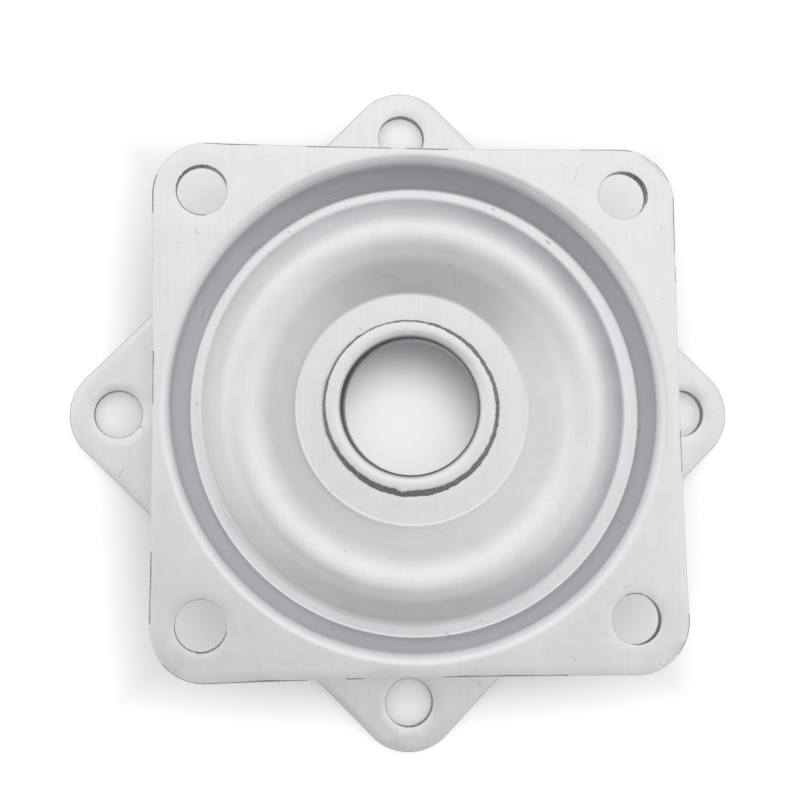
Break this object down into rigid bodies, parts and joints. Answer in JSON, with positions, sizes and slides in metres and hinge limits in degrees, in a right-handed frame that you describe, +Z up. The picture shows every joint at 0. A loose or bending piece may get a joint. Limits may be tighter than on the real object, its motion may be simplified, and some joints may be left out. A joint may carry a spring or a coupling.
{
  "type": "lazy susan bearing",
  "caption": "Square swivel bearing: drawn sheet-steel plates, one set corner-on to the other, turn on a full ring of balls around a hollow rolled neck.",
  "frame": {"origin": "on the turning axis, in the lower plate's mounting face", "axes": "+Z up along the turning axis, through the hollow neck; the upper plate's sides run along X and Y at rest, and the lower plate's corners point along X and Y"},
  "size_m": [0.094, 0.094, 0.016],
  "materials": {
    "galvanised_sheet": "satin",
    "ball_steel": "polished"
  },
  "bodies": {
    "lower plate": {"lower_plate": "galvanised_sheet"},
    "upper plate": {"upper_plate": "galvanised_sheet"},
    "ring of balls": {"ball_01": "ball_steel", "ball_02": "ball_steel", "ball_03": "ball_steel", "ball_04": "ball_steel", "ball_05": "ball_steel", "ball_06": "ball_steel", "ball_07": "ball_steel", "ball_08": "ball_steel", "ball_09": "ball_steel", "ball_10": "ball_steel", "ball_11": "ball_steel", "ball_12": "ball_steel", "ball_13": "ball_steel", "ball_14": "ball_steel", "ball_15": "ball_steel", "ball_16": "ball_steel", "ball_17": "ball_steel", "ball_18": "ball_steel"}
  },
  "joints": [
    {"name": "swivel", "type": "hinge", "parent": "lower plate", "child": "upper plate", "pos_m": [0, 0, 0.008], "axis": [0, 0, 1], "continuous": true},
    {"name": "ball_travel", "type": "hinge", "parent": "lower plate", "child": "ring of balls", "pos_m": [0, 0, 0.008], "axis": [0, 0, 1], "continuous": true}
  ],
  "couplings": [
    {"joint": "ball_travel", "follows": "swivel", "ratio": 0.5}
  ]
}
